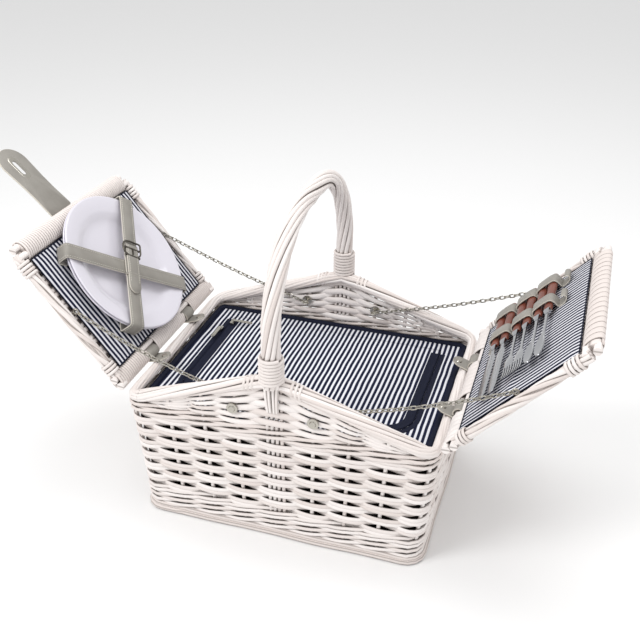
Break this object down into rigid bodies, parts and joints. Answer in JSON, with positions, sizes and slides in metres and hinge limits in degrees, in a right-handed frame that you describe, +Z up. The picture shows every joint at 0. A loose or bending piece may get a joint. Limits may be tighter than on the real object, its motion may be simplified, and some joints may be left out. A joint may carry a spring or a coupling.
{
  "type": "wicker picnic basket",
  "caption": "Lidded wicker picnic basket with a fixed arched handle, insulated zip bag, strapped plates and looped cutlery.",
  "frame": {"origin": "middle of the underside, on the surface the basket stands on", "axes": "+X along the length, towards the lid with the cutlery; -Y is the front; +Z up"},
  "size_m": [0.7747, 0.322, 0.426],
  "materials": {
    "whitewashed_willow": "whitewashed willow rods, matt",
    "striped_cotton": "navy and white striped woven cotton",
    "striped_cotton_bag": "navy and white striped woven cotton over foil insulation",
    "navy_binding": "navy polyester binding and zip tape",
    "nickelled_steel": "nickel plated",
    "dark_steel": "darkened steel",
    "glazed_porcelain": "white glaze",
    "grey_leather": "grey leather with stitched edges",
    "red_brown_grips": "red-brown moulded grips",
    "stainless_steel": "polished stainless steel"
  },
  "bodies": {
    "basket": {"bag_body": "striped_cotton_bag", "bag_piping": "navy_binding", "bag_zip_tape": "navy_binding", "chain_back_left": "nickelled_steel", "chain_back_right": "nickelled_steel", "chain_bolts": "nickelled_steel", "chain_front_left": "nickelled_steel", "chain_front_right": "nickelled_steel", "foot_border": "whitewashed_willow", "handle_arch": "whitewashed_willow", "handle_bindings": "whitewashed_willow", "left_hinge_tabs": "grey_leather", "right_hinge_tabs": "grey_leather", "rim_border": "whitewashed_willow", "tab_rivets": "nickelled_steel", "woven_base": "whitewashed_willow", "woven_walls": "whitewashed_willow"},
    "lid_left": {"closure_strap_anchor": "grey_leather", "lid_left_chain_eyes": "nickelled_steel", "lid_left_edge_roll": "whitewashed_willow", "lid_left_hinge_bar": "whitewashed_willow", "lid_left_lining": "striped_cotton", "lid_left_rails": "whitewashed_willow", "lid_left_woven_panel": "whitewashed_willow", "lower_plate": "glazed_porcelain", "plate_strap_buckle": "dark_steel", "plate_strap_buckled": "grey_leather", "plate_strap_plain": "grey_leather", "upper_plate": "glazed_porcelain"},
    "lid_right": {"cutlery_loops_lower": "grey_leather", "cutlery_loops_upper": "grey_leather", "lid_right_chain_eyes": "nickelled_steel", "lid_right_edge_roll": "whitewashed_willow", "lid_right_hinge_bar": "whitewashed_willow", "lid_right_lining": "striped_cotton", "lid_right_rails": "whitewashed_willow", "lid_right_woven_panel": "whitewashed_willow", "turn_lock_base": "nickelled_steel"},
    "closing_strap": {"closure_strap": "grey_leather", "closure_strap_eyelet": "nickelled_steel"},
    "turn_knob": {"turn_lock_knob": "nickelled_steel"},
    "flap": {"bag_flap": "striped_cotton_bag", "flap_zip_tape": "navy_binding", "parked_zip_slider": "nickelled_steel"},
    "slider": {"zip_slider": "nickelled_steel"},
    "slider_pull": {"zip_pull": "nickelled_steel"},
    "parked_pull": {"parked_zip_pull": "nickelled_steel"},
    "buckle_prong": {"plate_strap_buckle_prong": "dark_steel"},
    "knife_1": {"knife_1_blade": "stainless_steel", "knife_1_handle": "red_brown_grips"},
    "knife_2": {"knife_2_blade": "stainless_steel", "knife_2_handle": "red_brown_grips"},
    "fork_1": {"fork_1_handle": "red_brown_grips", "fork_1_head": "stainless_steel"},
    "fork_2": {"fork_2_handle": "red_brown_grips", "fork_2_head": "stainless_steel"},
    "spoon_1": {"spoon_1_handle": "red_brown_grips", "spoon_1_head": "stainless_steel"},
    "spoon_2": {"spoon_2_handle": "red_brown_grips", "spoon_2_head": "stainless_steel"}
  },
  "joints": [
    {"name": "lid_left_hinge", "type": "hinge", "parent": "basket", "child": "lid_left", "pos_m": [-0.204, 0, 0.184], "axis": [0, -1, 0], "range_deg": [-109.31, 0], "deforming": ["chain_front_left", "chain_back_left", "closure_strap", "closure_strap_eyelet"]},
    {"name": "lid_right_hinge", "type": "hinge", "parent": "basket", "child": "lid_right", "pos_m": [0.204, 0, 0.184], "axis": [0, 1, 0], "range_deg": [-113.31, 0], "deforming": ["chain_front_right", "chain_back_right"]},
    {"name": "closing_strap_bend", "type": "hinge", "parent": "lid_left", "child": "closing_strap", "pos_m": [-0.34492, 0, 0.34409], "axis": [0, -1, 0], "range_deg": [-40, 0]},
    {"name": "turn_lock_turn", "type": "hinge", "parent": "lid_right", "child": "turn_knob", "pos_m": [0.31955, 0, 0.28085], "axis": [0.7361, 0, -0.6769], "range_deg": [0, 90]},
    {"name": "bag_flap_hinge", "type": "hinge", "parent": "basket", "child": "flap", "pos_m": [0, 0.10796, 0.162], "axis": [-1, 0, 0], "range_deg": [0, 75]},
    {"name": "zip_slide", "type": "slide", "parent": "basket", "child": "slider", "axis": [0, -1, 0], "range_m": [0, 0.115]},
    {"name": "zip_pull_swing", "type": "hinge", "parent": "slider", "child": "slider_pull", "pos_m": [-0.15502, 0.06196, 0.1687], "axis": [-1, 0, 0], "range_deg": [0, 150]},
    {"name": "parked_pull_swing", "type": "hinge", "parent": "flap", "child": "parked_pull", "pos_m": [-0.14597, 0.08396, 0.1687], "axis": [0, -1, 0], "range_deg": [0, 150]},
    {"name": "buckle_prong_swing", "type": "hinge", "parent": "lid_left", "child": "buckle_prong", "pos_m": [-0.25434, 0.01314, 0.29627], "axis": [-0.4581, -0.6789, 0.5738], "range_deg": [0, 60]},
    {"name": "knife_1_pull_out", "type": "slide", "parent": "lid_right", "child": "knife_1", "axis": [0, -1, 0], "range_m": [0, 0.095]},
    {"name": "knife_2_pull_out", "type": "slide", "parent": "lid_right", "child": "knife_2", "axis": [0, -1, 0], "range_m": [0, 0.095]},
    {"name": "fork_1_pull_out", "type": "slide", "parent": "lid_right", "child": "fork_1", "axis": [0, -1, 0], "range_m": [0, 0.095]},
    {"name": "fork_2_pull_out", "type": "slide", "parent": "lid_right", "child": "fork_2", "axis": [0, -1, 0], "range_m": [0, 0.095]},
    {"name": "spoon_1_pull_out", "type": "slide", "parent": "lid_right", "child": "spoon_1", "axis": [0, -1, 0], "range_m": [0, 0.095]},
    {"name": "spoon_2_pull_out", "type": "slide", "parent": "lid_right", "child": "spoon_2", "axis": [0, -1, 0], "range_m": [0, 0.095]}
  ]
}
